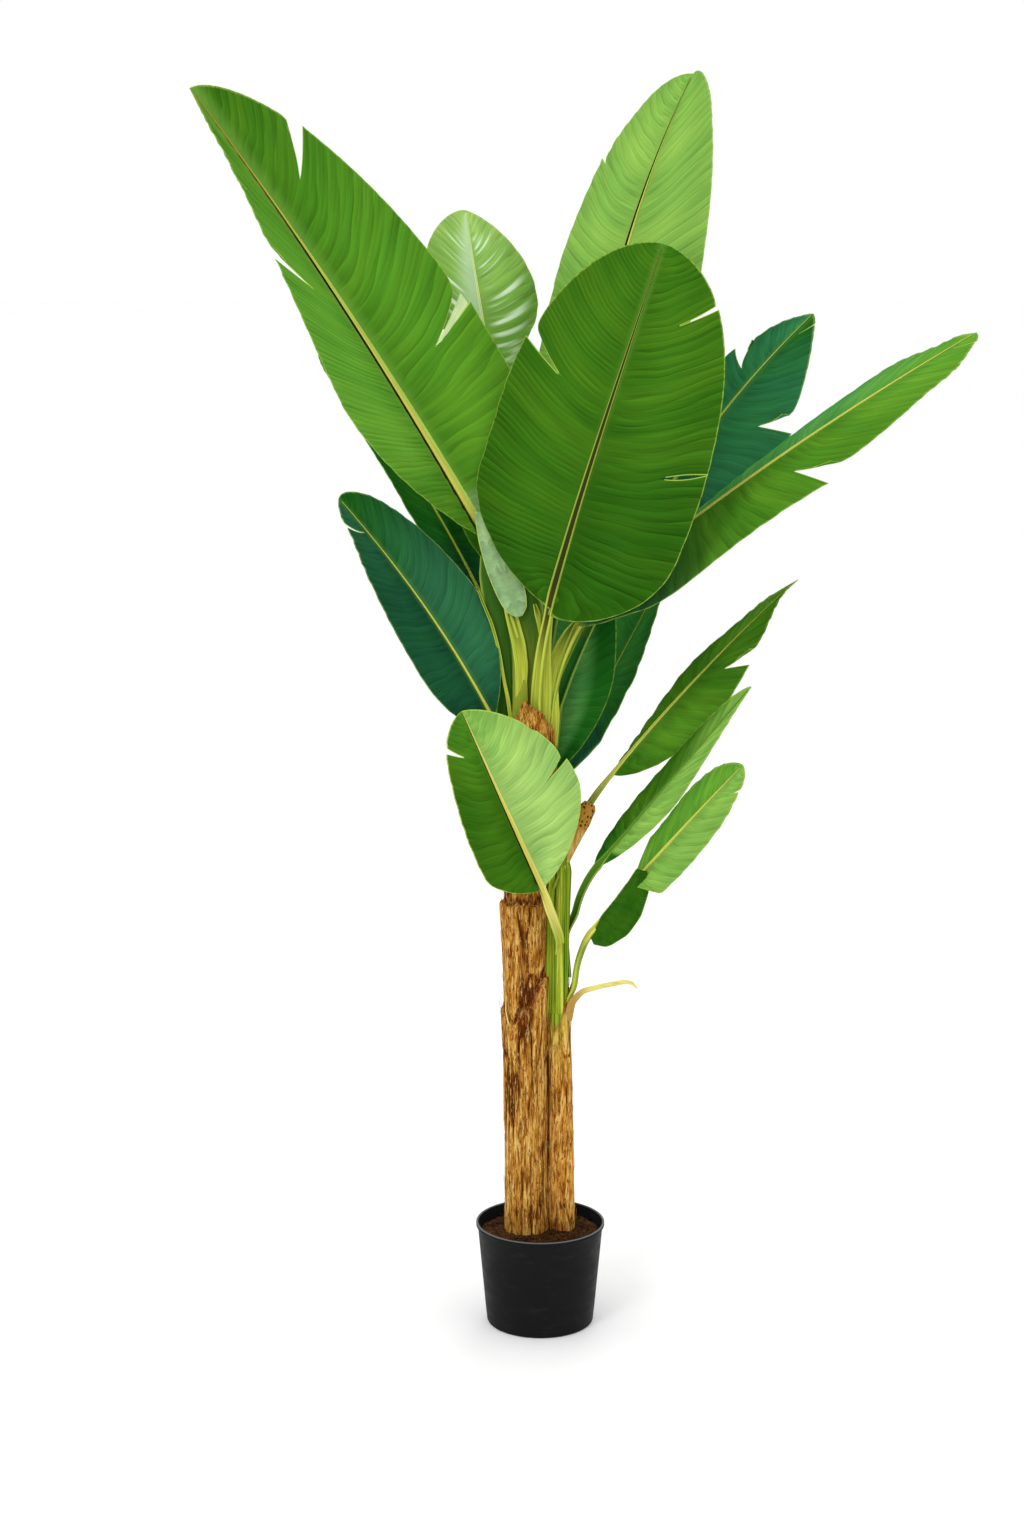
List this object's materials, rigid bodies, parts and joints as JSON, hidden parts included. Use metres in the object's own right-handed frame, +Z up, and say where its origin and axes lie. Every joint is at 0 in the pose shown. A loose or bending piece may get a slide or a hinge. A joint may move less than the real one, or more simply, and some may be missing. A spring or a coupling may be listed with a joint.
{
  "type": "artificial banana plant in a nursery pot",
  "caption": "Artificial banana plant, tall and airy, with a fibrous trunk, a slim side stem and broad torn leaves, standing in a round black nursery pot.",
  "frame": {"origin": "centre of the pot's flat underside, on the surface that the plant stands on", "axes": "+Z up, along the plant's height; +Y away from the viewer of the front; +X to that viewer's right"},
  "size_m": [1.0852, 0.5992, 1.8096],
  "materials": {
    "pot_plastic": "matte black",
    "coir_fill": "loose brown coir fibre over a firm filler",
    "bark": "fibrous golden brown sheath, streaked",
    "green_stem": "yellow green, striped lengthwise, brown and fibrous below",
    "straw": "dry straw fibre",
    "leaf_green": "printed leaf green, satin, with a yellow rib",
    "leaf_pale": "light leaf green, satin",
    "leaf_dark": "deep blue green, satin"
  },
  "bodies": {
    "root": {"pot": "pot_plastic", "pot_fill": "coir_fill", "main_stem": "bark", "side_stem": "green_stem", "crown_sheath": "bark", "leaf_base_stub": "bark", "dry_strip": "straw", "leaf_high_left": "leaf_green", "leaf_back_small": "leaf_pale", "leaf_high_right": "leaf_pale", "leaf_front": "leaf_green", "leaf_right_back": "leaf_dark", "leaf_far_right": "leaf_green", "leaf_left_low": "leaf_dark", "leaf_left_back": "leaf_dark", "leaf_right_low_near": "leaf_dark", "leaf_right_low_back": "leaf_dark", "leaf_front_low": "leaf_pale", "leaf_side_high": "leaf_green", "leaf_side_mid": "leaf_green", "leaf_side_low": "leaf_green", "leaf_back_high": "leaf_green", "leaf_back_low": "leaf_dark"}
  },
  "joints": []
}
